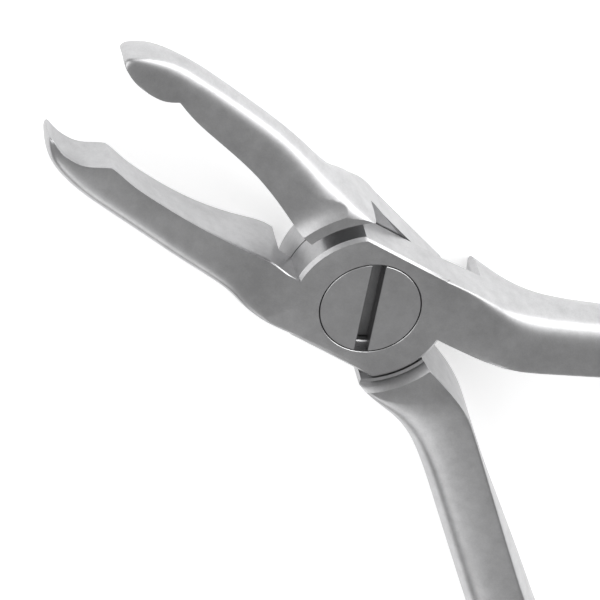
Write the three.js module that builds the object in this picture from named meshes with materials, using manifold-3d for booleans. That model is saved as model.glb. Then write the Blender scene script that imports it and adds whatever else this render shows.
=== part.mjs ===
// Extraction forceps, English pattern: two forged levers that cross in a lap joint and turn on one screw.
// Millimetres. +Z runs along the joint's axis, towards the screw's head. The forceps lie on their back, z = 0.
// The origin is on the joint's axis in the back face. +X points to the beaks, along the line that halves
// the angle between them. The front lever carries the beak on the +Y side, and the back lever the other.

import * as THREE from 'three';
import { mergeVertices } from 'three/addons/utils/BufferGeometryUtils.js';
import Module from 'manifold-3d';

const wasm = await Module();
wasm.setup();

// Joint
const JOINT_THICKNESS = 8.5;
const MID_Z = JOINT_THICKNESS / 2;
const LAP_GAP = 0.3;
const PLATE_RADIUS = 8.45;
const PLATE_HALF_WIDTH = 6.65;
const PLATE_CHAMFER = 0.45;
const SHOULDER_RADIUS = 10.1;
const HALF_OPENING = THREE.MathUtils.degToRad(8.05);

// Screw
const HEAD_RADIUS = 5.1;
const HEAD_THICKNESS = 1.0;
const BEARING_RADIUS = 4.4;
const THREAD_RADIUS = 3.2;
const SCREW_CLEARANCE = 0.3;
const SLOT_WIDTH = 1.4;
const SLOT_DEPTH = 1.9;
const SLOT_ANGLE = THREE.MathUtils.degToRad(-57);

// Lengths along a lever, from the joint's axis
const BEAK_LENGTH = 38.9;
const HANDLE_LENGTH = 136;
const HANDLE_END_ROUND = 5;

// Fineness
const CORNER_STEPS = 4;
const ROUND_SIDES = 64;
const OVERRUN = 2;

// A profile gives a distance at each place x along a lever. Between the key points it is a smooth curve
// that never overshoots them.
const profile = (...points) => {
  const slope = points.slice(1).map(([x, v], i) => (v - points[i][1]) / (x - points[i][0]));
  const tangent = points.map((_, i) => {
    if (i === 0) return slope[0];
    if (i === points.length - 1) return slope[i - 1];
    if (slope[i - 1] * slope[i] <= 0) return 0;
    return (2 * slope[i - 1] * slope[i]) / (slope[i - 1] + slope[i]);
  });
  return (x) => {
    const last = points.length - 2;
    const found = points.findIndex((point, i) => i > 0 && x <= point[0]) - 1;
    const i = found < 0 ? (x <= points[0][0] ? 0 : last) : found;
    const span = points[i + 1][0] - points[i][0];
    const t = THREE.MathUtils.clamp((x - points[i][0]) / span, 0, 1);
    const rise = points[i + 1][1] - points[i][1];
    const ease = t * t * (3 - 2 * t);
    return points[i][1] + rise * ease
      + span * (tangent[i] * t * (1 - t) ** 2 - tangent[i + 1] * t * t * (1 - t));
  };
};

// Beak: distances from the closed forceps' middle line to its inner and outer side, half its thickness,
// the width and height of its rounded outer edges, and the depth of the hollow in the tip's inner face.
// The front beak's tip is hollow along its length and the back beak's tip swells into that hollow.
const beakThickness = profile([0, MID_Z], [11.1, MID_Z], [11.9, 3.8], [14, 3.3], [18, 2.65], [22, 2.4],
  [37, 2.4], [BEAK_LENGTH, 2.05]);
const beakEdgeWidth = profile([0, PLATE_CHAMFER], [8, PLATE_CHAMFER], [13, 1.3], [34, 1.4],
  [BEAK_LENGTH, 0.2]);
const frontBeak = {
  inner: profile([0, 0.9], [9, 0.9], [11.5, 0.6], [15, 1.05], [20.5, 1.4], [28, 0.95], [31.6, 0.28],
    [33.4, 1.16], [34.9, 1.5], [36.4, 1.38], [BEAK_LENGTH, 0.41]),
  outer: profile([0, PLATE_HALF_WIDTH], [5, PLATE_HALF_WIDTH], [8, 6.85], [11.2, 6.85], [13.5, 6.3],
    [18.5, 6.1], [26, 5.43], [31.3, 4.8], [34, 4.25], [36.4, 3.3], [38, 2.15], [BEAK_LENGTH, 0.9]),
  thickness: beakThickness,
  edgeWidth: beakEdgeWidth,
  edgeHeight: beakEdgeWidth,
  hollow: profile([31.6, 0], [33.5, 0.55], [36.5, 0.6], [BEAK_LENGTH, 0.1]),
};
const backBeak = {
  inner: profile([0, 0.9], [9, 0.6], [11.7, 0.25], [16, 0.72], [20, 1.0], [27, 0.6], [29.6, 0.48],
    [31.3, 0.75], [32.5, -0.15], [34.2, -0.58], [36.4, -0.82], [BEAK_LENGTH, -0.42]),
  outer: profile([0, PLATE_HALF_WIDTH], [5, PLATE_HALF_WIDTH], [8, 6.85], [11.2, 6.85], [13.5, 6.25],
    [18.5, 6.15], [27.7, 4.95], [31, 4.33], [34, 3.6], [36.2, 2.65], [37.9, 1.35], [BEAK_LENGTH, 0.1]),
  thickness: beakThickness,
  edgeWidth: beakEdgeWidth,
  edgeHeight: beakEdgeWidth,
  hollow: profile([31.6, 0], [33.5, 0.3], [36.5, 0.35], [BEAK_LENGTH, 0.05]),
};
const BEAK_STATIONS = [0, 5, 8, 9.6, 11.1, 11.5, 11.9, 12.8, 14, 16, 18, 20, 22, 25, 28, 30, 31, 31.6, 32.5,
  33.4, 34.2, 34.9, 35.7, 36.4, 37.2, 38, 38.5, BEAK_LENGTH];

// Handle: the same distances. Its inner side is flat and its outer side is domed, so the ground flat on the
// joint runs out along a slanting line on the handle's root.
const handle = {
  inner: profile([0, 0.3], [10, 0.3], [14, 0.45], [17.5, 1.0], [20.5, 2.2], [27, 5.1], [38.8, 10.4],
    [48, 14.2], [60, 17.7], [75, 19.7], [90, 20.0], [110, 18.7], [HANDLE_LENGTH, 15.8]),
  outer: profile([0, PLATE_HALF_WIDTH], [5, PLATE_HALF_WIDTH], [9, 6.85], [12, 6.85], [14.5, 7.05],
    [17, 7.6], [20, 8.6], [28, 12.05], [35.4, 15.25], [46, 19.7], [60, 23.6], [75, 25.8], [90, 26.2],
    [110, 25.0], [HANDLE_LENGTH, 22.0]),
  thickness: profile([0, MID_Z], [17, MID_Z], [19, 4.05], [24, 3.7], [32, 3.5], [45, 3.6], [60, 4.0],
    [75, MID_Z], [HANDLE_LENGTH, MID_Z]),
  edgeWidth: profile([0, PLATE_CHAMFER], [9, 0.8], [13, 2.2], [17, 4.8], [HANDLE_LENGTH, 4.8]),
  edgeHeight: profile([0, PLATE_CHAMFER], [9, 0.8], [13, 1.2], [17, 2.2], [25, 2.9], [HANDLE_LENGTH, 3.2]),
  hollow: () => 0,
};
const HANDLE_STATIONS = [0, 5, 9, 10.5, 12, 13.5, 15, 17, 19, 21, 24, 28, 33, 39, 46, 53, 60, 68, 76, 84, 92,
  101, 110, 119, 127, HANDLE_LENGTH - HANDLE_END_ROUND];
const END_STEPS = 5;
const INNER_EDGE = 0.35;

const steel = (color, roughness) => new THREE.MeshStandardMaterial({ color, roughness, metalness: 1 });

const solid = (geometry) => {
  const bare = geometry.clone();
  bare.deleteAttribute('normal');
  bare.deleteAttribute('uv');
  const merged = mergeVertices(bare, 1e-4);
  return new wasm.Manifold(new wasm.Mesh({
    numProp: 3,
    vertProperties: new Float32Array(merged.attributes.position.array),
    triVerts: new Uint32Array(merged.index.array),
  }));
};

const geometryOf = (manifold) => {
  const mesh = manifold.getMesh();
  const geometry = new THREE.BufferGeometry();
  geometry.setAttribute('position', new THREE.BufferAttribute(new Float32Array(mesh.vertProperties), 3));
  geometry.setIndex(new THREE.BufferAttribute(new Uint32Array(mesh.triVerts), 1));
  geometry.computeVertexNormals();
  return geometry;
};

// Closed solid through rings of equally many points, closed by a fan at each end.
const loft = (rings) => {
  const sides = rings[0].length;
  const centre = (ring) => ring.reduce((sum, point) => sum.add(point), new THREE.Vector3())
    .divideScalar(sides);
  const points = [...rings.flat(), centre(rings[0]), centre(rings.at(-1))];
  const first = points.length - 2;
  const last = points.length - 1;
  const index = [];
  for (let i = 0; i < sides; i += 1) {
    const next = (i + 1) % sides;
    for (let k = 0; k + 1 < rings.length; k += 1) {
      const near = k * sides;
      const far = near + sides;
      index.push(near + i, near + next, far + next, near + i, far + next, far + i);
    }
    const end = (rings.length - 1) * sides;
    index.push(first, next, i, last, end + i, end + next);
  }
  const geometry = new THREE.BufferGeometry().setFromPoints(points);
  geometry.setIndex(index);
  const volume = solid(geometry);
  return volume.volume() > 0 ? volume : solid(flipped(geometry));
};

const flipped = (geometry) => {
  const turned = geometry.clone();
  turned.setIndex(Array.from(geometry.index.array).reverse());
  return turned;
};

const cylinder = (radius, low, high) => {
  const geometry = new THREE.CylinderGeometry(radius, radius, high - low, ROUND_SIDES);
  geometry.rotateX(Math.PI / 2);
  geometry.translate(0, 0, (low + high) / 2);
  return solid(geometry);
};

// One section of an arm: a closed ring of (distance from the middle line, height) at place x.
const sectionOf = (arm, x) => {
  const inner = arm.inner(x);
  const outer = arm.outer(x);
  const half = arm.thickness(x);
  const width = Math.min(arm.edgeWidth(x), outer - inner - INNER_EDGE - 0.05);
  const height = Math.min(arm.edgeHeight(x), half - 0.1);
  const ring = [];
  for (let i = 0; i <= CORNER_STEPS; i += 1) {
    const turn = (i / CORNER_STEPS) * (Math.PI / 2);
    ring.push([outer - width + width * Math.cos(turn), half - height + height * Math.sin(turn)]);
  }
  ring.push([inner + INNER_EDGE * 0.3, half], [inner, half - INNER_EDGE]);
  const upper = [...ring];
  const middle = [inner + arm.hollow(x), 0];
  const lower = upper.map(([distance, level]) => [distance, -level]).reverse();
  return [...upper, middle, ...lower];
};

// The ring of a section in space. end is +1 on a beak and -1 on a handle, side the sign of y.
const ringAt = (section, x, end, side) => section.map(([distance, level]) => (
  new THREE.Vector3(end * x, side * distance, MID_Z + level)));

const beakOf = (arm, side) => loft(BEAK_STATIONS.map((x) => ringAt(sectionOf(arm, x), x, 1, side)));

const handleOf = (side) => {
  const straight = HANDLE_STATIONS.map((x) => ringAt(sectionOf(handle, x), x, -1, side));
  const end = [];
  for (let i = 1; i <= END_STEPS; i += 1) {
    const turn = (i / (END_STEPS + 0.35)) * (Math.PI / 2);
    const x = HANDLE_LENGTH - HANDLE_END_ROUND * (1 - Math.sin(turn));
    const section = sectionOf(handle, x);
    const middle = (handle.inner(x) + handle.outer(x)) / 2;
    const share = Math.cos(turn);
    end.push(ringAt(section.map(([distance, level]) => (
      [middle + (distance - middle) * share, level * share])), x, -1, side));
  }
  return loft([...straight, ...end]);
};

// Joint plate: a disc with two flat sides along X. Its outer face, at z = face, has a chamfered edge.
const plateOutline = (radius, halfWidth, z) => {
  const corner = Math.asin(halfWidth / radius);
  const steps = ROUND_SIDES / 4;
  const points = [];
  [0, Math.PI].forEach((start) => {
    for (let i = 0; i <= steps; i += 1) {
      const turn = start - corner + (2 * corner * i) / steps;
      points.push(new THREE.Vector3(radius * Math.cos(turn), radius * Math.sin(turn), z));
    }
  });
  return points;
};

const plateBetween = (lap, face) => {
  const inward = Math.sign(lap - face);
  return loft([
    plateOutline(PLATE_RADIUS, PLATE_HALF_WIDTH, lap),
    plateOutline(PLATE_RADIUS, PLATE_HALF_WIDTH, face + inward * PLATE_CHAMFER),
    plateOutline(PLATE_RADIUS - PLATE_CHAMFER, PLATE_HALF_WIDTH - PLATE_CHAMFER, face),
  ]);
};

const turned = (manifold, angle) => solid(geometryOf(manifold).rotateZ(angle));

// Front lever: its plate is the front half of the lap, and its back half is cut away round the joint.
const frontLap = MID_Z + LAP_GAP / 2;
const headSeat = JOINT_THICKNESS - HEAD_THICKNESS;
const frontHalf = () => {
  const blank = plateBetween(frontLap, JOINT_THICKNESS).add(beakOf(frontBeak, 1)).add(handleOf(-1));
  const cut = blank
    .subtract(cylinder(SHOULDER_RADIUS, -OVERRUN, frontLap))
    .subtract(cylinder(BEARING_RADIUS + SCREW_CLEARANCE, -OVERRUN, JOINT_THICKNESS + OVERRUN))
    .subtract(cylinder(HEAD_RADIUS + SCREW_CLEARANCE, headSeat - SCREW_CLEARANCE, JOINT_THICKNESS + OVERRUN));
  return turned(cut, HALF_OPENING);
};

// Back lever: the same, turned over, with the screw's threaded hole.
const backLap = MID_Z - LAP_GAP / 2;
const backHalf = () => {
  const blank = plateBetween(backLap, 0).add(beakOf(backBeak, -1)).add(handleOf(1));
  const cut = blank
    .subtract(cylinder(SHOULDER_RADIUS, backLap, JOINT_THICKNESS + OVERRUN))
    .subtract(cylinder(THREAD_RADIUS + SCREW_CLEARANCE, -OVERRUN, JOINT_THICKNESS + OVERRUN));
  return turned(cut, -HALF_OPENING);
};

// Joint screw: flush head, bearing for the front lever, thread in the back lever, flush end at the back.
const screw = () => {
  const outline = [
    [0, 0], [THREAD_RADIUS, 0], [THREAD_RADIUS, backLap], [BEARING_RADIUS, backLap + LAP_GAP],
    [BEARING_RADIUS, headSeat], [HEAD_RADIUS, headSeat], [HEAD_RADIUS, JOINT_THICKNESS],
    [0, JOINT_THICKNESS],
  ].map(([radius, z]) => new THREE.Vector2(radius, z));
  const turnedPiece = new THREE.LatheGeometry(outline, ROUND_SIDES).rotateX(Math.PI / 2);
  const slot = new THREE.BoxGeometry(4 * HEAD_RADIUS, SLOT_WIDTH, 2 * SLOT_DEPTH);
  slot.rotateZ(SLOT_ANGLE);
  slot.translate(0, 0, JOINT_THICKNESS);
  return solid(turnedPiece).subtract(solid(slot));
};

const named = (name, manifold, material) => {
  const mesh = new THREE.Mesh(geometryOf(manifold), material);
  mesh.name = name;
  return mesh;
};

const group = new THREE.Group();
group.add(named('front_half', frontHalf(), steel(0x8a8a8a, 0.38)));
group.add(named('back_half', backHalf(), steel(0x8a8a8a, 0.38)));
group.add(named('joint_screw', screw(), steel(0x808080, 0.34)));

export default group;
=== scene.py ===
"""English-pattern extraction forceps in satin stainless steel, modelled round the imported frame.

Two forged levers cross in a lap joint and turn on one slotted screw. Each lever is worked as it is made:
the two arms are drawn out from the joint, joined to the joint plate, ground flat on both faces, and then
milled for the lap and bored for the screw. Shapes are made in millimetres, in the pose of closed forceps,
and are turned open and scaled to metres when each piece is finished.
"""

import logging
import math
from contextlib import contextmanager
from dataclasses import dataclass, replace
from enum import Enum
from typing import Callable, Iterator, Sequence

import bmesh
import bpy
from bpy.types import Material, Node, NodeSocket, NodeTree, Object, World
from mathutils import Matrix, Vector


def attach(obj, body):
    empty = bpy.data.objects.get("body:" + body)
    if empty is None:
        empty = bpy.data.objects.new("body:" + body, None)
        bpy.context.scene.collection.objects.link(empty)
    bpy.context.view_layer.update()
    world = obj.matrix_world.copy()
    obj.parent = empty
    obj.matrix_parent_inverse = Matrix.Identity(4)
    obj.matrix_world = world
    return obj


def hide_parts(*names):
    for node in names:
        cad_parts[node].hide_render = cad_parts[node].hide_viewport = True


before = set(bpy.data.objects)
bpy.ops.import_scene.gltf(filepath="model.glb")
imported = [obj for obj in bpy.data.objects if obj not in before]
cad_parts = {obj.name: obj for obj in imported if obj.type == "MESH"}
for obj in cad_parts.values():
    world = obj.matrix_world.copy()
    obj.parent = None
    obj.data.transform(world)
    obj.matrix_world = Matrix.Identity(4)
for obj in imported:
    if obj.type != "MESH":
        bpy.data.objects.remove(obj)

LOG = logging.getLogger("forceps")
MM = 0.001
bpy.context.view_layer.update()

Test = Callable[[Vector], bool]
PairTest = Callable[[Vector, Vector], bool]
Steps = Sequence[tuple[float, float]]

ROUND_SIDES = 192       # sides of every turned shape
SAME = 1e-3             # two places this near are the same one, in millimetres
SAME_SECTION = 1e-4     # the same for the places of sections along a lever
SAME_LEVEL = 9e-4       # the same for a column or row, whose place was rounded to 3 decimals
TINY = 1e-6             # a move shorter than this is none
OVERRUN = 3.0           # how far a cutter runs past the steel
ALLOWANCE = 0.1         # what grinding takes off each face of the joint
CUTTER_OVERLAP = 0.05   # how far each half of the lap cutter reaches past the middle
SMOOTH_ANGLE = math.radians(28)


# ---------------------------------------------------------------- the workbench: selecting and shaping

def set_aside() -> None:
    """Leaves edit mode and deselects every object."""
    if bpy.context.object is not None and bpy.context.object.mode != "OBJECT":
        bpy.ops.object.mode_set(mode="OBJECT")
    bpy.ops.object.select_all(action="DESELECT")


def take_up(piece: Object) -> None:
    """Makes piece the only selected object and the active one.

    Args:
        piece: The object to work on.
    """
    set_aside()
    piece.select_set(True)
    bpy.context.view_layer.objects.active = piece


@contextmanager
def editing(piece: Object) -> Iterator[bmesh.types.BMesh]:
    """Opens piece in edit mode.

    Args:
        piece: The mesh object to edit.

    Returns:
        The edit mesh, for selecting by place.
    """
    take_up(piece)
    bpy.ops.object.mode_set(mode="EDIT")
    try:
        yield bmesh.from_edit_mesh(piece.data)
    finally:
        bpy.ops.object.mode_set(mode="OBJECT")


def pick_vertices(piece: Object, wanted: Test) -> int:
    """Selects the vertices whose place passes the test.

    Args:
        piece: The object that is open in edit mode.
        wanted: A test on a vertex's place.

    Returns:
        How many vertices were selected.
    """
    mesh = bmesh.from_edit_mesh(piece.data)
    bpy.ops.mesh.select_mode(type="VERT")
    for vertex in mesh.verts:
        vertex.select_set(wanted(vertex.co))
    mesh.select_flush_mode()
    bmesh.update_edit_mesh(piece.data)
    return sum(vertex.select for vertex in mesh.verts)


def pick_edges(piece: Object, wanted: PairTest) -> int:
    """Selects the edges whose two ends pass the test together.

    Args:
        piece: The object that is open in edit mode.
        wanted: A test on the places of an edge's two ends.

    Returns:
        How many edges were selected.
    """
    mesh = bmesh.from_edit_mesh(piece.data)
    bpy.ops.mesh.select_mode(type="EDGE")
    for edge in mesh.edges:
        edge.select_set(False)
    for edge in mesh.edges:
        if wanted(edge.verts[0].co, edge.verts[1].co):
            edge.select_set(True)
    bmesh.update_edit_mesh(piece.data)
    return sum(edge.select for edge in mesh.edges)


def pick_faces(piece: Object, wanted: PairTest) -> int:
    """Selects the faces whose centre and normal pass the test.

    Args:
        piece: The object that is open in edit mode.
        wanted: A test on a face's centre and its normal.

    Returns:
        How many faces were selected.
    """
    mesh = bmesh.from_edit_mesh(piece.data)
    bpy.ops.mesh.select_mode(type="FACE")
    mesh.normal_update()
    for face in mesh.faces:
        face.select_set(False)
    for face in mesh.faces:
        if wanted(face.calc_center_median(), face.normal):
            face.select_set(True)
    bmesh.update_edit_mesh(piece.data)
    return sum(face.select for face in mesh.faces)


def shift(x: float = 0.0, y: float = 0.0, z: float = 0.0) -> None:
    """Moves what is selected in edit mode by x, y and z."""
    bpy.ops.transform.translate(value=(x, y, z), orient_type="GLOBAL")


def draw_out(x: float = 0.0, y: float = 0.0, z: float = 0.0, scale: float = 1.0) -> None:
    """Extrudes the selected faces and scales the new ones across Z.

    Args:
        x: How far the new faces go along X.
        y: How far they go along Y.
        z: How far they go along Z.
        scale: Their new size across Z, as a share of the old one.
    """
    move = {"value": (x, y, z), "orient_type": "GLOBAL"}
    bpy.ops.mesh.extrude_region_move(TRANSFORM_OT_translate=move)
    if scale != 1.0:
        bpy.ops.transform.resize(value=(scale, scale, 1.0), center_override=(0.0, 0.0, 0.0))


def fix_place() -> None:
    """Puts the active object's place, turn and scale into its mesh."""
    bpy.ops.object.transform_apply(location=True, rotation=True, scale=True)


def grind(piece: Object, level: Vector, outward: Vector) -> None:
    """Takes away what stands past a plane, and closes the cut with a flat face.

    Args:
        piece: The object to cut.
        level: A point on the plane.
        outward: The plane's normal, pointing to what is taken away.
    """
    with editing(piece):
        bpy.ops.mesh.select_all(action="SELECT")
        bpy.ops.mesh.bisect(plane_co=level, plane_no=outward, use_fill=True, clear_outer=True)


def use_modifier(piece: Object, kind: str, **settings: object) -> None:
    """Adds a modifier with its settings and applies it.

    Args:
        piece: The object that gets it.
        kind: The modifier's type.
        settings: The modifier's properties.
    """
    modifier = piece.modifiers.new(kind.lower(), kind)
    for name, value in settings.items():
        setattr(modifier, name, value)
    take_up(piece)
    bpy.ops.object.modifier_apply(modifier=modifier.name)


def work_with(piece: Object, tool: Object, operation: str) -> None:
    """Joins a second shape to piece, or cuts piece with it, and clears the second shape away.

    Args:
        piece: The object that stays.
        tool: The shape that is joined on or cut out.
        operation: UNION, DIFFERENCE or INTERSECT.
    """
    use_modifier(piece, "BOOLEAN", operation=operation, object=tool, solver="MANIFOLD")
    bpy.data.objects.remove(tool)


def face_outwards(piece: Object, merge: float) -> None:
    """Merges doubled vertices and points every face outwards.

    Args:
        piece: The object to clean.
        merge: How near two vertices are when they are the same one.
    """
    with editing(piece):
        bpy.ops.mesh.select_all(action="SELECT")
        bpy.ops.mesh.remove_doubles(threshold=merge)
        bpy.ops.mesh.normals_make_consistent(inside=False)


def turn_shape(name: str, steps: Steps) -> Object:
    """Turns a round shape about Z, as on a lathe.

    Args:
        name: The shape's name.
        steps: Pairs of height and radius from one end to the other.

    Returns:
        The new object, in millimetres.
    """
    (level, radius), *rest = steps
    set_aside()
    bpy.ops.mesh.primitive_circle_add(vertices=ROUND_SIDES, radius=radius, fill_type="NGON",
                                      location=(0.0, 0.0, level))
    shape = bpy.context.object
    shape.name = name
    fix_place()
    with editing(shape):
        bpy.ops.mesh.select_all(action="SELECT")
        for height, wide in rest:
            draw_out(z=height - level, scale=wide / radius)
            level, radius = height, wide
        bpy.ops.mesh.select_all(action="SELECT")
        bpy.ops.mesh.normals_make_consistent(inside=False)
    return shape


# ---------------------------------------------------------------- sizes

@dataclass(frozen=True)
class Profile:
    """A distance at each place along a lever: a smooth curve through key points that never overshoots.

    Args:
        points: Pairs of place and distance, in order of place.
    """

    points: tuple[tuple[float, float], ...]

    def _slopes(self) -> list[float]:
        """The rise of each stretch between two key points."""
        pairs = zip(self.points, self.points[1:])
        return [(b[1] - a[1]) / (b[0] - a[0]) for a, b in pairs]

    def _tangents(self) -> list[float]:
        """Works out the curve's slope at each key point.

        Returns:
            The slopes, level where the rise changes its sign.
        """
        slopes = self._slopes()
        inner = [0.0 if a * b <= 0 else 2 * a * b / (a + b) for a, b in zip(slopes, slopes[1:])]
        return [slopes[0], *inner, slopes[-1]]

    def at(self, x: float) -> float:
        """The distance at place x.

        Args:
            x: The place along the lever.

        Returns:
            The distance there.
        """
        points, tangents = self.points, self._tangents()
        i = max(0, min(len(points) - 2, sum(1 for p in points if p[0] < x) - 1))
        span = points[i + 1][0] - points[i][0]
        t = max(0.0, min(1.0, (x - points[i][0]) / span))
        rise = points[i + 1][1] - points[i][1]
        bulge = tangents[i] * t * (1 - t) ** 2 - tangents[i + 1] * t * t * (1 - t)
        return points[i][1] + rise * t * t * (3 - 2 * t) + span * bulge


@dataclass(frozen=True)
class JointSizes:
    """The lap joint's sizes in millimetres. The lap's gap is finer than the frame's."""

    thickness: float = 8.5
    plate_radius: float = 8.45
    plate_half_width: float = 6.65
    plate_chamfer: float = 0.36
    side_chamfer: float = 0.22
    shoulder_radius: float = 10.1
    lap_gap: float = 0.16
    half_opening: float = math.radians(8.05)

    @property
    def mid(self) -> float:
        """The height of the lap plane."""
        return self.thickness / 2


@dataclass(frozen=True)
class ScrewSizes:
    """The joint screw's sizes in millimetres.

    Args:
        head_radius: The head's radius.
        head_thickness: How deep its seat is.
        head_lift: How far its underside stays above the seat, so that the two faces don't coincide.
        bearing_radius: The radius of the part that the front lever turns on.
        stem_radius: The radius of the stem in the back lever.
        seat_gap: The gap round the head and the bearing, half as much round the stem.
        seat_ease: The broken edge where the bearing's bore meets the seat.
        rim: The broken edges of the screw's ends and of its hole.
        slot_width: The slot's width.
        slot_depth: Its depth.
        slot_ease: Its broken edges.
        slot_angle: Its direction about Z, from +X.
    """

    head_radius: float = 5.1
    head_thickness: float = 1.0
    head_lift: float = 0.03
    bearing_radius: float = 4.4
    stem_radius: float = 3.2
    seat_gap: float = 0.11
    seat_ease: float = 0.12
    rim: float = 0.05
    slot_width: float = 1.4
    slot_depth: float = 1.9
    slot_ease: float = 0.08
    slot_angle: float = math.radians(-57)


JOINT = JointSizes()
SCREW = ScrewSizes()


class Side(Enum):
    """Which side of the middle line an arm lies on when the forceps are closed."""

    LEFT = 1
    RIGHT = -1


class End(Enum):
    """Which way an arm runs from the joint."""

    BEAK = 1
    HANDLE = -1


# ---------------------------------------------------------------- one arm of a lever

CORNER_PULL = 0.19      # how far a rounded corner is pulled in, as a share of its rounding
LEAST_FACE = 0.12       # the least flat beside the rounding, as a share of the arm's width
LEAST_FLANK = 0.18      # the least flat between the two roundings, as a share of the thickness
KINK_CREASE = 0.55      # how sharp a corner of the inner side is
KINK_REACH = 0.5        # how far past half the outer distance a corner's edges may reach
SMOOTHING = 3           # levels of subdivision
MOVED = "moved"         # the vertex layer that says which ways a vertex has been moved


@dataclass(frozen=True)
class ArmShape:
    """The sizes of a beak or handle in millimetres, as they change along the lever.

    Args:
        inner: Distance from the middle line to the inner side.
        outer: Distance from the middle line to the outer side.
        half: Half the thickness.
        round_width: How far the rounding of the outer edges reaches across the face.
        round_height: How far it reaches down the outer side.
        hollow: How deep the inner face is hollowed between its two edges, less than 0 where it swells.
        edge_crease: How sharp the inner edges are, from 0 to 1.
        stations: The places of the sections.
        kinks: Places where the inner side has a corner.
        tip_crease: How sharp the far end is, from 0 to 1.
    """

    inner: Profile
    outer: Profile
    half: Profile
    round_width: Profile
    round_height: Profile
    hollow: Profile
    edge_crease: Profile
    stations: tuple[float, ...]
    kinks: tuple[float, ...] = ()
    tip_crease: float = 0.0


@dataclass(frozen=True)
class Arm:
    """A beak or a handle, drawn out from a section of 3 columns and 4 rows and then smoothed.

    Args:
        name: The arm's name.
        end: Whether it is a beak or a handle.
        side: The side of the middle line that it lies on.
        shape: Its sizes.
    """

    name: str
    end: End
    side: Side
    shape: ArmShape

    def _columns(self, x: float) -> list[float]:
        """Works out where a section's columns are.

        Args:
            x: The place along the lever.

        Returns:
            The places of the inner side, of the start of the rounding and of the outer side.
        """
        inner, outer = self.shape.inner.at(x), self.shape.outer.at(x)
        start = max(outer - self.shape.round_width.at(x), inner + LEAST_FACE * (outer - inner))
        return [self.side.value * v for v in (inner, start, outer)]

    def _rows(self, x: float) -> list[float]:
        """Works out how high a section's rows are.

        Args:
            x: The place along the lever.

        Returns:
            The four heights, from low to high.
        """
        half = self.shape.half.at(x)
        level = max(half - self.shape.round_height.at(x), LEAST_FLANK * half)
        return [JOINT.mid + v for v in (-half, -level, level, half)]

    def _first_section(self) -> Object:
        """Adds the flat grid that the arm is drawn out from.

        Returns:
            The new object.
        """
        x = self.shape.stations[0]
        columns, rows = self._columns(x), self._rows(x)
        set_aside()
        bpy.ops.mesh.primitive_grid_add(
            x_subdivisions=3, y_subdivisions=2, size=1.0, rotation=(0.0, math.pi / 2, 0.0),
            location=(self.end.value * x, (columns[0] + columns[2]) / 2, JOINT.mid))
        piece = bpy.context.object
        piece.name = self.name
        piece.scale = (rows[3] - rows[0], abs(columns[2] - columns[0]), 1.0)
        fix_place()
        return piece

    def _details(self, x: float) -> list[tuple[float, float, float, float]]:
        """Says how a section differs from a plain grid: rounded outer corners and a hollowed inner face.

        Args:
            x: The place along the lever.

        Returns:
            For each vertex that moves, its place across and its height in the grid, and its move in both.
        """
        columns, rows = self._columns(x), self._rows(x)
        width = CORNER_PULL * (columns[1] - columns[2])
        height = CORNER_PULL * (rows[3] - rows[2])
        dents = [(columns[2], rows[0], width, height), (columns[2], rows[3], width, -height)]
        hollow = self.shape.hollow.at(x) * self.side.value
        if abs(hollow) > TINY:
            dents += [(columns[0], row, hollow, 0.0) for row in rows[1:3]]
        return dents

    def _dent(self, piece: Object, here: Test, x: float, undo: bool) -> None:
        """Rounds and hollows the newest section, or makes it a plain grid again.

        Args:
            piece: The arm, open in edit mode.
            here: The test for the newest section.
            x: The place along the lever that the section has the shape of.
            undo: Whether the section is made plain again.
        """
        way = -1.0 if undo else 1.0
        for across, up, dy, dz in self._details(x):
            y, z = (across + dy, up + dz) if undo else (across, up)
            pick_vertices(piece, lambda co: here(co) and abs(co.y - y) < SAME and abs(co.z - z) < SAME)
            shift(y=way * dy, z=way * dz)

    def _shape_section(self, piece: Object, x: float, before: float) -> None:
        """Moves the newest section's columns and rows to their places.

        Args:
            piece: The arm, open in edit mode, with its newest section at place x.
            x: The place along the lever.
            before: The place of the section that the newest one was drawn out from.
        """
        place = self.end.value * x

        def here(co: Vector) -> bool:
            """Whether a vertex is in the newest section."""
            return abs(co.x - place) < SAME_SECTION

        if x != before:
            self._dent(piece, here, before, undo=True)
        mesh = bmesh.from_edit_mesh(piece.data)
        moved = mesh.verts.layers.int[MOVED]
        for vertex in mesh.verts:
            vertex[moved] = 0
        newest = [vertex.co.copy() for vertex in mesh.verts if here(vertex.co)]
        for axis, goals in ((1, sorted(self._columns(x))), (2, self._rows(x))):
            levels = sorted({round(co[axis], 3) for co in newest})
            for level, goal in zip(levels, goals):
                self._move_level(piece, here, axis, level, goal)
        self._dent(piece, here, x, undo=False)
        pick_vertices(piece, here)

    @staticmethod
    def _move_level(piece: Object, here: Test, axis: int, level: float, goal: float) -> None:
        """Moves one column or row of the newest section, and marks its vertices so that none moves twice.

        Args:
            piece: The arm, open in edit mode.
            here: The test for the newest section.
            axis: 1 for a column, 2 for a row.
            level: Where the column or row is.
            goal: Where it goes.
        """
        if abs(goal - level) < TINY:
            return
        mesh = bmesh.from_edit_mesh(piece.data)
        moved = mesh.verts.layers.int[MOVED]
        bpy.ops.mesh.select_mode(type="VERT")
        for vertex in mesh.verts:
            chosen = (here(vertex.co) and abs(vertex.co[axis] - level) < SAME_LEVEL
                      and not vertex[moved] & axis)
            vertex.select_set(chosen)
            if chosen:
                vertex[moved] |= axis
        mesh.select_flush_mode()
        bmesh.update_edit_mesh(piece.data)
        move = [0.0, 0.0, 0.0]
        move[axis] = goal - level
        shift(*move)

    def _on_inner_edge(self, co: Vector) -> bool:
        """Tells whether a vertex lies on an edge of the inner side.

        Args:
            co: The vertex's place.

        Returns:
            True where it lies on the lower or upper edge.
        """
        x = co.x * self.end.value
        low, *_, high = self._rows(x)
        return abs(co.y - self._columns(x)[0]) < SAME and min(abs(co.z - low), abs(co.z - high)) < SAME

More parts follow.
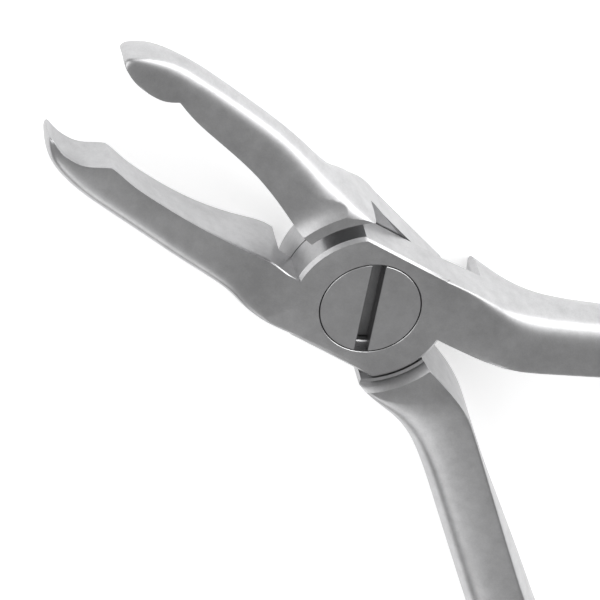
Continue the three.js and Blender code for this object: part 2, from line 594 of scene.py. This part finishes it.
    def _crease(self, piece: Object) -> None:
        """Sharpens the inner edges, both ends and the kinks before the arm is smoothed.

        Args:
            piece: The arm, open in edit mode.
        """
        shape, way = self.shape, self.end.value
        for near, far in zip(shape.stations, shape.stations[1:]):
            low, high = sorted((way * near, way * far))
            if pick_edges(piece, lambda a, b: low - SAME < min(a.x, b.x) and max(a.x, b.x) < high + SAME
                          and abs(a.x - b.x) > SAME and self._on_inner_edge(a) and self._on_inner_edge(b)):
                bpy.ops.transform.edge_crease(value=shape.edge_crease.at((near + far) / 2))
        for x, value in ((shape.stations[-1], shape.tip_crease), (shape.stations[0], 1.0)):
            pick_edges(piece, lambda a, b: max(abs(a.x - way * x), abs(b.x - way * x)) < SAME)
            bpy.ops.transform.edge_crease(value=value)
        for x in shape.kinks:
            reach = shape.outer.at(x) / 2 + KINK_REACH
            pick_edges(piece, lambda a, b: max(abs(a.x - way * x), abs(b.x - way * x)) < SAME
                       and max(abs(a.y), abs(b.y)) < reach)
            bpy.ops.transform.edge_crease(value=KINK_CREASE)

    def build(self) -> Object:
        """Draws the arm out from the joint and smooths it.

        Returns:
            The arm's mesh object, in millimetres, in the pose of closed forceps.
        """
        stations = self.shape.stations
        piece = self._first_section()
        with editing(piece) as mesh:
            mesh.verts.layers.int.new(MOVED)
            self._shape_section(piece, stations[0], stations[0])
            for before, x in zip(stations, stations[1:]):
                bpy.ops.mesh.select_mode(type="FACE")
                draw_out(x=self.end.value * (x - before))
                self._shape_section(piece, x, before)
            bpy.ops.mesh.select_all(action="SELECT")
            bpy.ops.mesh.normals_make_consistent(inside=False)
            self._crease(piece)
        use_modifier(piece, "SUBSURF", levels=SMOOTHING, render_levels=SMOOTHING)
        return piece


# ---------------------------------------------------------------- the beaks and handles of these forceps

FRONT_BEAK = ArmShape(
    inner=Profile(((2, 0.9), (9, 0.9), (11.5, 0.6), (15, 1.05), (20.5, 1.42), (28, 0.95), (31.5, 0.18),
                   (33.4, 1.2), (34.9, 1.56), (36.4, 1.42), (38.9, 0.41))),
    outer=Profile(((2, 6.3), (4.6, 6.62), (8, 6.8), (11.2, 6.62), (13.5, 6.2), (18.5, 6.1), (26, 5.45),
                   (31.3, 4.85), (34, 4.3), (36.4, 3.4), (38, 2.25), (38.9, 0.95))),
    half=Profile(((2, 4.37), (8, 4.35), (10, 4.25), (13, 3.78), (16, 3.2), (20, 2.7), (25, 2.42),
                  (36.5, 2.4), (38.9, 1.9))),
    round_width=Profile(((2, 0.55), (8, 0.6), (12, 1.1), (16, 1.5), (34, 1.6), (37, 1.1), (38.9, 0.3))),
    round_height=Profile(((2, 0.55), (8, 0.6), (10, 0.9), (13.5, 2.2), (17, 2.0), (38.9, 1.7))),
    hollow=Profile(((2, 0), (31.4, 0), (33.5, 0.55), (36.5, 0.6), (38.9, 0.1))),
    edge_crease=Profile(((2, 0.9), (38.9, 0.9))),
    stations=(2, 5, 7.2, 8.6, 9.8, 11, 12, 13.2, 15, 17.5, 20, 23, 26, 28.6, 30.4, 31.5, 32.4, 33.4, 34.6,
              35.8, 36.9, 37.8, 38.85),
    kinks=(31.5,), tip_crease=0.15)
BACK_BEAK = replace(
    FRONT_BEAK,
    inner=Profile(((2, 0.9), (9, 0.6), (11.7, 0.25), (16, 0.72), (20, 1.0), (27, 0.6), (29.6, 0.5),
                   (31.3, 0.85), (32.5, -0.2), (34.2, -0.8), (36.4, -1.08), (38.9, -0.6))),
    outer=Profile(((2, 6.3), (4.6, 6.62), (8, 6.83), (11.2, 6.85), (13.5, 6.25), (18.5, 6.15), (27.7, 4.98),
                   (31, 4.38), (34, 3.68), (36.2, 2.75), (37.9, 1.45), (38.9, 0.15))),
    half=Profile(((2, 4.65), (10, 4.65), (10.9, 4.5), (11.5, 4.2), (12.4, 3.7), (13.5, 3.25), (15.5, 2.85),
                  (18, 2.6), (23, 2.4), (36, 2.4), (38.9, 1.8))),
    round_width=Profile(((2, 0.55), (7, 0.6), (8.5, 1.6), (9.6, 3.0), (11, 4.0), (18, 4.5), (34, 4.0),
                         (37, 1.6), (38.9, 0.3))),
    round_height=Profile(((2, 0.55), (7, 0.6), (8.5, 1.5), (9.6, 2.6), (11, 3.2), (14, 2.9), (18, 2.1),
                          (38.9, 1.7))),
    hollow=Profile(((2, 0), (31.4, 0), (33.5, 0.3), (36.5, 0.35), (38.9, 0.05))))
FRONT_HANDLE = ArmShape(
    inner=Profile(((2, 0.3), (10, 0.3), (14, 0.45), (17.5, 1.0), (20.5, 2.2), (27, 5.1), (38.8, 10.4),
                   (48, 14.2), (60, 17.7), (75, 19.7), (90, 20.0), (110, 18.7), (133, 16.2), (135, 17.0),
                   (135.8, 18.2))),
    outer=Profile(((2, 6.3), (4.6, 6.62), (9, 6.85), (12, 6.85), (14.5, 7.05), (17, 7.6), (20, 8.6),
                   (28, 12.05), (35.4, 15.25), (46, 19.7), (60, 23.6), (75, 25.8), (90, 26.2), (110, 24.9),
                   (133, 22.2), (135, 21.3), (135.8, 19.8))),
    half=Profile(((2, 4.37), (9, 4.36), (13, 4.29), (17, 4.14), (21, 3.9), (25, 3.7), (32, 3.5), (45, 3.6),
                  (60, 4.0), (75, 4.25), (133, 4.25), (135, 3.7), (135.8, 2.7))),
    round_width=Profile(((2, 0.55), (8, 0.7), (10, 1.4), (13, 3.4), (17, 5.6), (24, 6.0), (136, 6.0))),
    round_height=Profile(((2, 0.55), (8, 0.6), (10, 1.2), (13, 2.2), (18, 3.0), (136, 3.3))),
    hollow=Profile(((2, 0), (24, 0), (30, -0.45), (38, -1.0), (60, -1.3), (136, -1.3))),
    edge_crease=Profile(((2, 0.9), (11, 0.85), (16, 0.5), (22, 0.42), (136, 0.35))),
    stations=(2, 5, 8, 10.5, 12.5, 14.5, 16.5, 18.5, 21, 24, 28, 33, 39, 46, 53, 60, 68, 76, 84, 92, 101, 110,
              119, 127, 131.5, 134, 135.2, 135.8))
BACK_HANDLE = replace(FRONT_HANDLE, round_height=Profile((
    (2, 0.55), (8, 0.6), (10, 1.1), (13, 1.7), (18, 2.1), (60, 2.4), (80, 3.2), (136, 3.3))))

# The milled shoulders, as pairs of depth below the joint's face and radius.
BEAK_SHOULDER = ((0.1, JOINT.shoulder_radius), (0.0, JOINT.shoulder_radius + 0.1))
FRONT_SHOULDER = ((0.4, 11.2), (0.0, 11.6))
BACK_SHOULDER = ((1.1, 9.2), (1.0, 9.5), (0.8, 9.55), (0.0, 10.25))


@dataclass(frozen=True)
class FacetSizes:
    """The ground ring round the shoulder of the back lever's beak, and the hollow slope beyond it.

    Args:
        radius: The ring's outer radius.
        drop: How far the slope lies below the joint's face, at each radius.
        rings: In how many steps the slope is turned, closer together near the ring.
        reach: The radius of the turned form past the slope.
        last_rise: How much further the form narrows from the slope's end to that radius.
        margin: How far the form stands above the joint's face inside the ring.
    """

    radius: float = 11.35
    drop: Profile = Profile(((11.35, 0.0), (11.7, 0.28), (12.4, 0.72), (13.5, 1.15), (15.5, 1.6), (19, 1.85)))
    rings: int = 14
    reach: float = 60.0
    last_rise: float = 0.01
    margin: float = 1.0


@dataclass(frozen=True)
class CornerSizes:
    """The eased corner where a handle's shoulder meets its outer side.

    Args:
        ease: How much is milled off.
        place: Where along the handle its width is taken.
        tool: The cutter's length and width.
    """

    ease: float = 0.75
    place: float = 9.0
    tool: tuple[float, float] = (4.0, 5.0)


@dataclass(frozen=True)
class CheckSizes:
    """The diamond check that is cut across the outer side of both grips.

    Args:
        start: Where along the handle it starts.
        stop: Where it ends.
        spacing: From one cut to the next.
        tilt: The slant of the cuts, either way.
        depth: How deep they are.
        blade: The radius of the square cutter.
    """

    start: float = 66.0
    stop: float = 129.0
    spacing: float = 1.6
    tilt: float = math.radians(33)
    depth: float = 0.42
    blade: float = 0.62


FACET = FacetSizes()
CORNER = CornerSizes()
CHECK = CheckSizes()


# ---------------------------------------------------------------- levers

HOLE_SLACK = 0.02       # how much wider than the hole its faces are looked for
HOLE_MARGIN = 0.1       # how far below the joint's faces they start
SLANTING = (0.3, 0.9)   # the upright share of a broken edge's normal


@dataclass(frozen=True)
class Lever:
    """A lever: one forging with a beak, half of the lap joint and a handle.

    Args:
        name: The piece's name.
        node: The frame node that it stands for.
        body: The frame body that it rides on.
        beak: Its beak.
        handle: Its handle.
        in_front: Whether its plate is the front half of the lap.
        handle_shoulder: The milled shoulder on the handle's side, as pairs of depth and radius.
    """

    name: str
    node: str
    body: str
    beak: Arm
    handle: Arm
    in_front: bool
    handle_shoulder: Steps

    @property
    def face(self) -> float:
        """The height of the plate's outer face."""
        return JOINT.thickness if self.in_front else 0.0

    @property
    def out(self) -> float:
        """+1 where the plate's outer face looks up, and -1 where it looks down."""
        return 1.0 if self.in_front else -1.0

    @property
    def lap(self) -> float:
        """The height of the plate's inner face."""
        return JOINT.mid + self.out * JOINT.lap_gap / 2

    def _beak_with_facet(self) -> Object:
        """Draws out the beak and turns it down round the shoulder so that a ground ring stands above it.

        Returns:
            The beak's mesh object.
        """
        width = FACET.drop.points[-1][0] - FACET.radius
        radii = [FACET.radius + width * (i / FACET.rings) ** 2 for i in range(FACET.rings + 1)]
        slope = [(FACET.drop.at(r), r) for r in radii]
        under = [(-FACET.margin, FACET.radius), *slope, (slope[-1][0] + FACET.last_rise, FACET.reach)]
        over = [(JOINT.thickness - z, r) for z, r in reversed(under)]
        blank = self.beak.build()
        work_with(blank, turn_shape("facet_form", (*under, *over)), "INTERSECT")
        return blank

    def _plate(self) -> Object:
        """Makes the joint plate: a disc with two flat sides and a chamfered outer rim.

        Returns:
            The plate, which becomes the lever's blank.
        """
        top = self.face + self.out * ALLOWANCE
        set_aside()
        bpy.ops.mesh.primitive_cylinder_add(
            vertices=ROUND_SIDES, radius=JOINT.plate_radius, depth=abs(top - self.lap),
            location=(0.0, 0.0, (top + self.lap) / 2))
        piece = bpy.context.object
        piece.name = self.name
        fix_place()
        for way in (1.0, -1.0):
            grind(piece, Vector((0.0, way * JOINT.plate_half_width, 0.0)), Vector((0.0, way, 0.0)))

        def on_top(co: Vector) -> bool:
            """Whether a vertex is on the outer face."""
            return abs(co.z - top) < SAME

        def on_side(co: Vector) -> bool:
            """Whether a vertex is on one of the two flat sides."""
            return abs(abs(co.y) - JOINT.plate_half_width) < SAME

        with editing(piece):
            for straight, chamfer in ((False, JOINT.plate_chamfer), (True, JOINT.side_chamfer)):
                pick_edges(piece, lambda a, b: on_top(a) and on_top(b)
                           and (on_side(a) and on_side(b)) == straight)
                bpy.ops.mesh.bevel(offset=chamfer + ALLOWANCE, offset_type="OFFSET", segments=1,
                                   affect="EDGES")
        return piece

    def _mill_lap(self, piece: Object) -> None:
        """Mills away the half of the joint that the other lever's plate turns in, with broken edges.

        Args:
            piece: The lever's blank.
        """
        far = JOINT.thickness - self.face
        away = -self.out
        for way, steps in ((1.0, BEAK_SHOULDER), (-1.0, self.handle_shoulder)):
            rings = [(far - away * depth, radius) for depth, radius in steps]
            tool = turn_shape("lap_cutter", (
                (self.lap, steps[0][1]), *rings, (far + away * OVERRUN, steps[-1][1])))
            grind(tool, Vector((-way * CUTTER_OVERLAP, 0.0, 0.0)), Vector((-way, 0.0, 0.0)))
            work_with(piece, tool, "DIFFERENCE")

    def _ease_corner(self, piece: Object) -> None:
        """Mills off the corner where the handle's shoulder meets its outer side.

        Args:
            piece: The lever's blank.
        """
        radius = self.handle_shoulder[0][1]
        flank = Vector((0.0, self.handle.side.value, 0.0))
        across = self.handle.shape.outer.at(CORNER.place)
        corner = Vector((-math.sqrt(radius ** 2 - across ** 2), flank.y * across, 0.0))
        outward = (flank - corner.normalized()).normalized()
        far = JOINT.mid - self.out * JOINT.thickness
        length, width = CORNER.tool
        set_aside()
        bpy.ops.mesh.primitive_cube_add(size=1.0, rotation=(0.0, 0.0, math.atan2(outward.y, outward.x)),
                                        location=corner + outward * (length / 2 - CORNER.ease))
        tool = bpy.context.object
        tool.location.z = (self.lap + far) / 2
        tool.scale = (length, width, abs(self.lap - far))
        fix_place()
        work_with(piece, tool, "DIFFERENCE")

    def _bore(self, piece: Object) -> None:
        """Bores the hole for the screw, with the head's seat in the front lever.

        Args:
            piece: The lever's blank.
        """
        gap, rim = SCREW.seat_gap, SCREW.rim
        seat = JOINT.thickness - SCREW.head_thickness
        bearing = SCREW.bearing_radius + gap
        head = SCREW.head_radius + gap
        stem = SCREW.stem_radius + gap / 2
        if self.in_front:
            steps = ((-OVERRUN, bearing), (seat - SCREW.seat_ease, bearing),
                     (seat, bearing + SCREW.seat_ease), (seat, head), (self.face - rim, head),
                     (self.face + rim, head + 2 * rim), (self.face + OVERRUN, head + 2 * rim))
        else:
            steps = ((-OVERRUN, stem + 2 * rim), (-rim, stem + 2 * rim), (rim, stem),
                     (JOINT.thickness + OVERRUN, stem))
        work_with(piece, turn_shape("drill", steps), "DIFFERENCE")

    def _check_grip(self, piece: Object) -> None:
        """Cuts the diamond check across the outer side of the grip, one slant after the other.

        Args:
            piece: The lever's blank.
        """
        grip = self.handle
        for slant in (CHECK.tilt, -CHECK.tilt):
            blades = []
            for i in range(int((CHECK.stop - CHECK.start) / CHECK.spacing) + 1):
                x = CHECK.start + i * CHECK.spacing
                across = grip.shape.outer.at(x) + CHECK.blade - CHECK.depth
                set_aside()
                bpy.ops.mesh.primitive_cylinder_add(
                    vertices=4, radius=CHECK.blade, depth=2 * JOINT.thickness, rotation=(0.0, slant, 0.0),
                    location=(grip.end.value * x, grip.side.value * across, JOINT.mid))
                blades.append(bpy.context.object)
            set_aside()
            for blade in blades:
                blade.select_set(True)
            bpy.context.view_layer.objects.active = blades[0]
            bpy.ops.object.join()
            fix_place()
            work_with(piece, blades[0], "DIFFERENCE")

    @staticmethod
    def _in_hole(centre: Vector, normal: Vector) -> bool:
        """Tells whether a face is inside the screw's hole, leaving out the hole's broken edges.

        Args:
            centre: The face's centre.
            normal: Its normal.

        Returns:
            True for the walls and the seat of the hole.
        """
        near = centre.xy.length < SCREW.head_radius + SCREW.seat_gap + HOLE_SLACK
        deep = HOLE_MARGIN < centre.z < JOINT.thickness - HOLE_MARGIN
        slants = SLANTING[0] < abs(normal.z) < SLANTING[1]
        return near and deep and not slants

    def build(self, satin: Material, milled: Material) -> Object:
        """Forges, grinds, mills and bores the lever.

        Args:
            satin: The finish of the lever's outside.
            milled: The finish inside the screw's hole, whose darker grey is painted shade in the hole.

        Returns:
            The finished piece, in metres, in the frame's rest pose.
        """
        piece = self._plate()
        beak_blank = self.beak.build() if self.in_front else self._beak_with_facet()
        for arm in (beak_blank, self.handle.build()):
            work_with(piece, arm, "UNION")
        grind(piece, Vector((0.0, 0.0, JOINT.thickness)), Vector((0.0, 0.0, 1.0)))
        grind(piece, Vector((0.0, 0.0, 0.0)), Vector((0.0, 0.0, -1.0)))
        self._mill_lap(piece)
        self._ease_corner(piece)
        self._bore(piece)
        self._check_grip(piece)
        face_outwards(piece, merge=2 * SAME)
        # The hole's walls and seat get the darker steel: painted shade in the hole and round the screw's
        # head.
        finish_faces(piece, satin, milled, self._in_hole)
        to_metres(piece, JOINT.half_opening if self.in_front else -JOINT.half_opening)
        return piece


def finish_faces(piece: Object, main_finish: Material, other: Material,
                 wanted: PairTest) -> None:
    """Gives a piece its finish, and another one to the faces that pass the test.

    Args:
        piece: The piece.
        main_finish: The finish of the whole piece.
        other: The finish of the chosen faces.
        wanted: A test on a face's centre and its normal.
    """
    piece.data.materials.clear()
    piece.data.materials.append(main_finish)
    piece.data.materials.append(other)
    with editing(piece):
        bpy.ops.mesh.select_all(action="SELECT")
        piece.active_material_index = 0
        bpy.ops.object.material_slot_assign()
        if pick_faces(piece, wanted):
            piece.active_material_index = 1
            bpy.ops.object.material_slot_assign()


def to_metres(piece: Object, turn: float) -> None:
    """Turns a finished piece to the frame's rest pose and scales it from millimetres to metres.

    Args:
        piece: The piece, in millimetres.
        turn: The angle about Z, in radians.
    """
    take_up(piece)
    piece.rotation_euler = (0.0, 0.0, turn)
    piece.scale = (MM, MM, MM)
    fix_place()
    bpy.ops.object.shade_smooth_by_angle(angle=SMOOTH_ANGLE)


# ---------------------------------------------------------------- joint screw

SLOT_SLACK = 0.01       # how much past the slot its faces are looked for


@dataclass(frozen=True)
class JointScrew:
    """The slotted screw that the levers turn on, flush in front and behind."""

    name: str = "pivot_screw"
    node: str = "joint_screw"
    body: str = "back_lever"

    def build(self, turned: Material, milled: Material) -> Object:
        """Turns the screw and saws its slot.

        Args:
            turned: The finish of its turned faces.
            milled: The finish of the slot, whose darker grey is painted shade in the slot.

        Returns:
            The finished piece, in metres.
        """
        stem, bearing, head, rim = SCREW.stem_radius, SCREW.bearing_radius, SCREW.head_radius, SCREW.rim
        seat = JOINT.thickness - SCREW.head_thickness + SCREW.head_lift
        piece = turn_shape(self.name, (
            (0.0, stem - rim), (rim, stem), (JOINT.mid, stem), (JOINT.mid, bearing), (seat, bearing),
            (seat, head), (JOINT.thickness - rim, head), (JOINT.thickness, head - rim)))
        work_with(piece, self._saw(), "DIFFERENCE")
        face_outwards(piece, merge=SAME)
        across = Vector((-math.sin(SCREW.slot_angle), math.cos(SCREW.slot_angle), 0.0))
        floor = JOINT.thickness - SCREW.slot_depth
        # The slot's faces get the darker steel: painted shade in the slot.
        finish_faces(piece, turned, milled, lambda centre, normal: centre.z > floor - SLOT_SLACK
                     and abs(centre.dot(across)) < SCREW.slot_width / 2 + SLOT_SLACK)
        to_metres(piece, 0.0)
        return piece

    @staticmethod
    def _saw() -> Object:
        """Makes the blade that cuts the slot, wider at its top so that the slot's edges are broken.

        Returns:
            The blade's mesh object, in place.
        """
        ease = SCREW.slot_ease
        height = SCREW.slot_depth - ease
        set_aside()
        bpy.ops.mesh.primitive_cube_add(size=1.0, location=(0.0, 0.0, 0.0))
        saw = bpy.context.object
        saw.name = "saw"
        saw.scale = (4 * SCREW.head_radius, SCREW.slot_width, height)
        fix_place()
        with editing(saw):
            pick_faces(saw, lambda centre, normal: normal.z > SLANTING[1])
            draw_out(z=2 * ease)
            bpy.ops.transform.resize(value=(1.0, 1 + 4 * ease / SCREW.slot_width, 1.0),
                                     center_override=(0.0, 0.0, 0.0))
            draw_out(z=OVERRUN)
        saw.rotation_euler = (0.0, 0.0, SCREW.slot_angle)
        saw.location = (0.0, 0.0, JOINT.thickness - ease - height / 2)
        take_up(saw)
        fix_place()
        return saw


# ---------------------------------------------------------------- finishes

def linear(colour: str) -> tuple[float, float, float, float]:
    """Turns an sRGB hex colour to linear light.

    Args:
        colour: Six hex digits after a hash.

    Returns:
        Red, green, blue and an alpha of 1.
    """
    parts = [int(colour[i:i + 2], 16) / 255 for i in (1, 3, 5)]
    return (*[v / 12.92 if v <= 0.04045 else ((v + 0.055) / 1.055) ** 2.4 for v in parts], 1.0)


def add_node(tree: NodeTree, kind: str, settings: dict[str, object] | None = None,
             inputs: dict[str, object] | None = None) -> Node:
    """Adds a node with its settings, values and links.

    Args:
        tree: The node tree.
        kind: The node's type.
        settings: The node's own properties.
        inputs: For each input, a value, or the output socket that feeds it.

    Returns:
        The new node.
    """
    node = tree.nodes.new(kind)
    for name, value in (settings or {}).items():
        setattr(node, name, value)
    for name, value in (inputs or {}).items():
        socket = node.inputs[int(name)] if name.isdigit() else node.inputs[name]
        if isinstance(value, NodeSocket):
            tree.links.new(value, socket)
        else:
            socket.default_value = value
    return node


def empty_tree(owner: Material | World) -> NodeTree:
    """Gives a material or a world a node tree with nothing in it.

    Args:
        owner: The material or world.

    Returns:
        Its node tree.
    """
    owner.use_nodes = True
    owner.node_tree.nodes.clear()
    return owner.node_tree


@dataclass(frozen=True)
class SatinSteel:
    """Martensitic stainless steel, ground and then bead-blasted: an even grey satin that blurs reflections.

    Args:
        name: The material's name.
        light: Its colour where the blasting left it bright.
        dark: Its colour where the blasting left it dull.
        roughness: Its mean roughness.
        spread: How much the roughness varies either way.
        grain_mm: The width of the blasting's pits, drawn a little coarser than real so that they show.
        patch_mm: The width of the dull and bright patches.
        blotch_mm: The width of the finer mottling inside the patches.
        lines_mm: The spacing of the grinding lines under the blasting.
        grain_depth_mm: The height that the bump gives the grain.
    """

    name: str
    light: str = "#cfcfd0"
    dark: str = "#bababb"
    roughness: float = 0.37
    spread: float = 0.04
    grain_mm: float = 0.16
    patch_mm: float = 9.0
    blotch_mm: float = 1.3
    lines_mm: float = 0.22
    grain_depth_mm: float = 0.007

    def make(self) -> Material:
        """Makes the material.

        Returns:
            The new material.
        """
        material = bpy.data.materials.new(self.name)
        tree = empty_tree(material)
        place = add_node(tree, "ShaderNodeTexCoord").outputs["Object"]
        patches = add_node(tree, "ShaderNodeTexNoise", inputs={
            "Vector": place, "Scale": 1 / (self.patch_mm * MM), "Detail": 3.0})
        grain = add_node(tree, "ShaderNodeTexNoise", inputs={
            "Vector": place, "Scale": 1 / (self.grain_mm * MM), "Detail": 2.0, "Roughness": 0.6})
        along = add_node(tree, "ShaderNodeMapping", inputs={"Vector": place, "Scale": (0.04, 1.0, 1.0)})
        lines = add_node(tree, "ShaderNodeTexNoise", inputs={
            "Vector": along.outputs["Vector"], "Scale": 1 / (self.lines_mm * MM), "Detail": 2.0})
        blotches = add_node(tree, "ShaderNodeTexNoise", inputs={
            "Vector": place, "Scale": 1 / (self.blotch_mm * MM), "Detail": 4.0, "Roughness": 0.65})
        clouds = add_node(tree, "ShaderNodeMath", {"operation": "ADD"}, {
            "0": patches.outputs["Fac"], "1": blotches.outputs["Fac"]})
        speckled = add_node(tree, "ShaderNodeMath", {"operation": "MULTIPLY_ADD"}, {
            "0": grain.outputs["Fac"], "1": 0.5, "2": clouds.outputs[0]})
        brightness = add_node(tree, "ShaderNodeMapRange", inputs={
            "Value": speckled.outputs[0], "From Min": 0.95, "From Max": 1.55})
        colour = add_node(tree, "ShaderNodeMix", {"data_type": "RGBA"}, {
            "0": brightness.outputs["Result"], "6": linear(self.dark), "7": linear(self.light)})
        mixed = add_node(tree, "ShaderNodeMath", {"operation": "MULTIPLY_ADD"}, {
            "0": lines.outputs["Fac"], "1": 0.6, "2": patches.outputs["Fac"]})
        rough = add_node(tree, "ShaderNodeMapRange", inputs={
            "Value": mixed.outputs[0], "From Min": 0.45, "From Max": 1.15,
            "To Min": self.roughness - self.spread, "To Max": self.roughness + self.spread})
        height = add_node(tree, "ShaderNodeMath", {"operation": "MULTIPLY_ADD"}, {
            "0": lines.outputs["Fac"], "1": 0.5, "2": grain.outputs["Fac"]})
        bump = add_node(tree, "ShaderNodeBump", inputs={
            "Strength": 0.35, "Distance": self.grain_depth_mm * MM, "Height": height.outputs[0]})
        steel = add_node(tree, "ShaderNodeBsdfPrincipled", inputs={
            "Base Color": colour.outputs[2], "Metallic": 1.0, "Roughness": rough.outputs["Result"],
            "Normal": bump.outputs["Normal"]})
        add_node(tree, "ShaderNodeOutputMaterial", inputs={"Surface": steel.outputs["BSDF"]})
        return material


SATIN = SatinSteel("satin_stainless_steel")
# The screw is turned before it is blasted, which leaves it a shade darker and coarser than the levers.
SCREW_FACE = SatinSteel("turned_stainless_steel", light="#cacacb", dark="#bababb", grain_mm=0.2)
# The slot and the hole are left as milled, out of the blasting's reach, so they are rougher; their darker
# grey is painted shade for these recesses.
MILLED_PAINTED_SHADE = SatinSteel("milled_steel_painted_shade", light="#a2a2a3", dark="#909091", roughness=0.48)


# ---------------------------------------------------------------- studio

@dataclass(frozen=True)
class Softbox:
    """A softbox that looks at the joint.

    Args:
        name: The light's name.
        toward: The direction from the joint to the softbox.
        distance: How far it is, in metres.
        size: Its width and height, in metres.
        radiance: How bright its face looks.
    """

    name: str
    toward: tuple[float, float, float]
    distance: float
    size: tuple[float, float]
    radiance: float

    def hang(self) -> None:
        """Adds the light."""
        data = bpy.data.lights.new(self.name, "AREA")
        data.shape = "RECTANGLE"
        data.size, data.size_y = self.size
        data.energy = self.radiance * math.pi * self.size[0] * self.size[1]
        light = bpy.data.objects.new(self.name, data)
        bpy.context.scene.collection.objects.link(light)
        direction = Vector(self.toward).normalized()
        light.location = direction * self.distance
        light.rotation_euler = direction.to_track_quat("Z", "Y").to_euler()
        light.visible_camera = False


@dataclass(frozen=True)
class Studio:
    """A white table, a grey room and softboxes round the forceps, with a long lens above them.

    Args:
        lens: The focal length in millimetres, so long that there is hardly any perspective.
        frame_width: The width of what the camera sees at the joint's face, in metres.
        back: The direction from the joint to the camera.
        up: The direction that is upright in the view.
        aim: How far right of the joint and above it the camera aims, in metres.
        room: The room's grey, as linear light.
        table_size: The table's side in metres.
        table_glow: How bright the table is by itself, so that it stays white beside the steel.
        softboxes: The lights.
    """

    lens: float = 1000.0
    frame_width: float = 0.060
    back: tuple[float, float, float] = (0.4783, -0.3118, 0.8210)
    up: tuple[float, float, float] = (0.5119, -0.6606, -0.5491)
    aim: tuple[float, float] = (-0.00705, 0.00085)
    room: float = 0.315
    table_size: float = 6.0
    table_glow: float = 0.55
    softboxes: tuple[Softbox, ...] = (
        Softbox("low_softbox", (-0.12, -0.93, 0.37), 0.8, (1.15, 0.42), 2.6),
        Softbox("upper_softbox", (-0.05, -0.75, 0.70), 0.9, (1.2, 0.45), 0.8),
        Softbox("side_softbox", (-0.48, 0.74, 0.52), 0.8, (0.5, 0.3), 1.3),
        Softbox("key_softbox", (0.7, 0.25, 0.68), 0.9, (0.7, 0.7), 1.5),
    )

    def camera(self) -> None:
        """Sets the camera above the joint, looking down on the front face from the beaks' side."""
        back = Vector(self.back).normalized()
        right = Vector(self.up).cross(back).normalized()
        up = back.cross(right)
        target = Vector((0.0, 0.0, JOINT.thickness * MM)) + self.aim[0] * right + self.aim[1] * up
        data = bpy.data.cameras.new("camera")
        data.lens = self.lens
        distance = self.frame_width * self.lens / data.sensor_width
        data.clip_start, data.clip_end = 0.01, 20.0
        camera = bpy.data.objects.new("camera", data)
        bpy.context.scene.collection.objects.link(camera)
        turn = Matrix((right, up, back)).transposed().to_4x4()
        camera.matrix_world = Matrix.Translation(target + back * distance) @ turn
        bpy.context.scene.camera = camera

    def floor(self) -> None:
        """Lays the white table."""
        set_aside()
        bpy.ops.mesh.primitive_plane_add(size=self.table_size, location=(0.0, 0.0, 0.0))
        table = bpy.context.object
        table.name = "table"
        material = bpy.data.materials.new("white_table")
        tree = empty_tree(material)
        matt = add_node(tree, "ShaderNodeBsdfPrincipled", inputs={
            "Base Color": linear("#f4f4f4"), "Roughness": 0.9, "Specular IOR Level": 0.1,
            "Emission Color": linear("#ffffff"), "Emission Strength": self.table_glow})
        add_node(tree, "ShaderNodeOutputMaterial", inputs={"Surface": matt.outputs["BSDF"]})
        table.data.materials.append(material)

    def room_light(self) -> None:
        """Fills the room with even grey light."""
        world = bpy.data.worlds.new("room")
        bpy.context.scene.world = world
        tree = empty_tree(world)
        grey = add_node(tree, "ShaderNodeBackground", inputs={
            "Color": (self.room, self.room, self.room, 1.0), "Strength": 1.0})
        add_node(tree, "ShaderNodeOutputWorld", inputs={"Surface": grey.outputs["Background"]})

    def build(self) -> None:
        """Sets up the camera, the table and the lights."""
        self.camera()
        self.floor()
        self.room_light()
        for softbox in self.softboxes:
            softbox.hang()
        bpy.context.scene.view_settings.view_transform = "Standard"


# ---------------------------------------------------------------- assembly

def dress(piece: Object, node: str, body: str) -> None:
    """Ties a finished piece to the frame.

    Args:
        piece: The piece.
        node: The frame node that it stands for.
        body: The frame body that it rides on.
    """
    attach(piece, body)
    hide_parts(node)
    LOG.info("%s: %d faces, on %s", piece.name, len(piece.data.polygons), body)


def main() -> None:
    """Builds the studio, the two levers and the screw."""
    logging.basicConfig(level=logging.INFO, format="%(name)s: %(message)s")
    Studio().build()
    # The darker steel for the slot and the screw's hole is painted shade in these recesses.
    satin, turned, milled = SATIN.make(), SCREW_FACE.make(), MILLED_PAINTED_SHADE.make()
    levers = (
        Lever("front_lever_steel", "front_half", "front_lever",
              beak=Arm("front_beak", End.BEAK, Side.LEFT, FRONT_BEAK),
              handle=Arm("front_handle", End.HANDLE, Side.RIGHT, FRONT_HANDLE),
              in_front=True, handle_shoulder=FRONT_SHOULDER),
        Lever("back_lever_steel", "back_half", "back_lever",
              beak=Arm("back_beak", End.BEAK, Side.RIGHT, BACK_BEAK),
              handle=Arm("back_handle", End.HANDLE, Side.LEFT, BACK_HANDLE),
              in_front=False, handle_shoulder=BACK_SHOULDER),
    )
    for lever in levers:
        dress(lever.build(satin, milled), lever.node, lever.body)
    screw = JointScrew()
    dress(screw.build(turned, milled), screw.node, screw.body)


if __name__ == "__main__":
    main()
